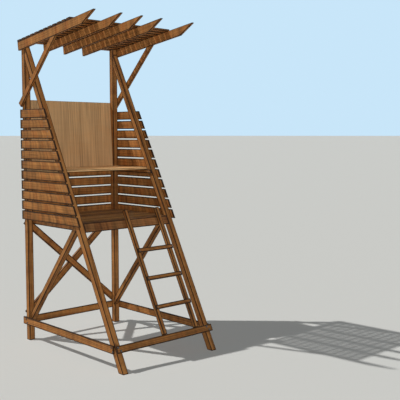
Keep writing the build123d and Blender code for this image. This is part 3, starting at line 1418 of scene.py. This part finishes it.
@dataclass
class Fixings:
    """Screw heads in the boards and bolt heads on the rails."""

    screw_radius: float = 0.0055
    screw_rise: float = 0.0010
    screw_recess: float = 0.0008
    bolt_radius: float = 0.0075
    bolt_rise: float = 0.0055
    washer_radius: float = 0.0115

    def build(self, shop: Workshop) -> None:
        """Make one piece of screws and one of bolts.

        Args:
            shop: The shared workshop.
        """
        steel = SteelFinish("fixing_steel").material()
        screws = {"Radius": self.screw_radius, "Rise": self.screw_rise, "Recess": self.screw_recess}
        bolts = {"Radius": self.bolt_radius, "Rise": self.bolt_rise, "Washer": self.washer_radius}
        for kind, tree, sizes in (
            (FixingKind.SCREW, ScrewTree(), screws),
            (FixingKind.BOLT, BoltTree(), bolts),
        ):
            sites = self._site_mesh(kind, shop.sites[kind])
            keep_piece(tree.run(f"{kind.value}_heads", {**sizes, "Finish": steel}, sites))

    @staticmethod
    def _site_mesh(kind: FixingKind, sites: list[Site]) -> bpy.types.Mesh:
        """Loose points with the direction that each fixing faces.

        Args:
            kind: Screw or bolt.
            sites: Places and directions.

        Returns:
            The mesh.
        """
        mesh = bpy.data.meshes.new(f"{kind.value}_sites")
        mesh.from_pydata([place for place, _ in sites], [], [])
        facing = mesh.attributes.new("facing", "FLOAT_VECTOR", "POINT")
        for number, (_, direction) in enumerate(sites):
            facing.data[number].vector = direction
        return mesh


@dataclass(frozen=True)
class Lamp:
    """A light that is far away."""

    name: str
    strength: float
    spread: float  # degrees that it fills in the sky
    bearing: float  # degrees from +X towards +Y, where it comes from
    height: float  # degrees over the floor
    tint: Colour = (1.0, 1.0, 1.0)
    shadow: bool = True

    def build(self) -> bpy.types.Object:
        """Make the light.

        Returns:
            The light's object.
        """
        lamp = bpy.data.lights.new(self.name, "SUN")
        lamp.energy = self.strength
        lamp.color = self.tint
        lamp.angle = math.radians(self.spread)
        lamp.use_shadow = self.shadow
        made = bpy.data.objects.new(self.name, lamp)
        bpy.context.scene.collection.objects.link(made)
        turn = math.radians(self.bearing + 90.0)
        made.rotation_euler = (math.radians(90.0 - self.height), 0.0, turn)
        return made


@dataclass
class Studio:
    """Pale floor, key light from the rear left, soft fill from the camera's side, and the camera."""

    floor_size: float = 8000.0
    floor_colour: Colour = (0.68, 0.675, 0.635)
    floor_roughness: float = 0.9
    floor_specular: float = 0.1
    backdrop: Colour = (0.58, 0.79, 0.95)
    ambient: float = 0.04
    key: Lamp = Lamp("key", strength=2.45, spread=0.9, bearing=135.0, height=50.0)
    fill: Lamp = Lamp(
        "fill", strength=1.45, spread=30.0, bearing=-127.0, height=30.0,
        tint=(0.97, 1.0, 1.04), shadow=False,
    )
    eye: tuple[float, float, float] = (-5.299, -7.009, 2.471)
    look_down: float = math.radians(4.925)
    look_turn: float = math.radians(-43.441)
    lens: float = 67.45
    sensor: float = 36.0

    def build(self) -> None:
        """Make the floor, the lights and the camera."""
        self._floor()
        self._world()
        self.key.build()
        self.fill.build()
        self._camera()
        bpy.context.scene.view_settings.view_transform = "Standard"

    def _floor(self) -> None:
        """A plain pale floor."""
        half = self.floor_size / 2
        mesh = bpy.data.meshes.new("floor")
        corners = [(-half, -half, 0.0), (half, -half, 0.0), (half, half, 0.0), (-half, half, 0.0)]
        mesh.from_pydata(corners, [], [(0, 1, 2, 3)])
        made = bpy.data.materials.new("floor_paint")
        made.use_nodes = True
        graph = NodeGraph(made.node_tree)
        surface = graph.node(
            "ShaderNodeBsdfPrincipled",
            inputs={
                "Base Color": opaque(self.floor_colour),
                "Roughness": self.floor_roughness,
                "Specular IOR Level": self.floor_specular,
            },
        )
        graph.node("ShaderNodeOutputMaterial", inputs={"Surface": surface})
        mesh.materials.append(made)
        add_object("floor", mesh)

    def _world(self) -> None:
        """Even fill light, with a pale backdrop where it is seen or reflected."""
        world = bpy.data.worlds.new("studio")
        world.use_nodes = True
        bpy.context.scene.world = world
        graph = NodeGraph(world.node_tree)
        seen = graph.node("ShaderNodeLightPath", output="Is Camera Ray")
        seen = seen.most(seen.sibling("Is Glossy Ray")).most(seen.sibling("Is Transmission Ray"))
        plain = (self.ambient, self.ambient, self.ambient, 1.0)
        colour = graph.blend(seen, plain, opaque(self.backdrop))
        light = graph.node("ShaderNodeBackground", inputs={"Color": colour, "Strength": 1.0})
        graph.node("ShaderNodeOutputWorld", inputs={"Surface": light})

    def _camera(self) -> None:
        """The camera at the photograph's angle."""
        data = bpy.data.cameras.new("camera")
        data.lens = self.lens
        data.sensor_width = self.sensor
        data.clip_end = self.floor_size
        made = bpy.data.objects.new("camera", data)
        bpy.context.scene.collection.objects.link(made)
        made.location = self.eye
        made.rotation_euler = (math.pi / 2 - self.look_down, 0.0, self.look_turn)
        bpy.context.scene.camera = made


def main() -> None:
    """Build the tower's pieces in order, then the studio."""
    logging.basicConfig(level=logging.INFO, format="%(name)s: %(message)s")
    shop = Workshop()
    for part in (MainFrame(), BaseRails(), Deck(), SlattedWalls(), SeatAndPanel(), Roof(), Ladder()):
        part.build(shop)
    Fixings().build(shop)
    Studio().build()


if __name__ == "__main__":
    main()
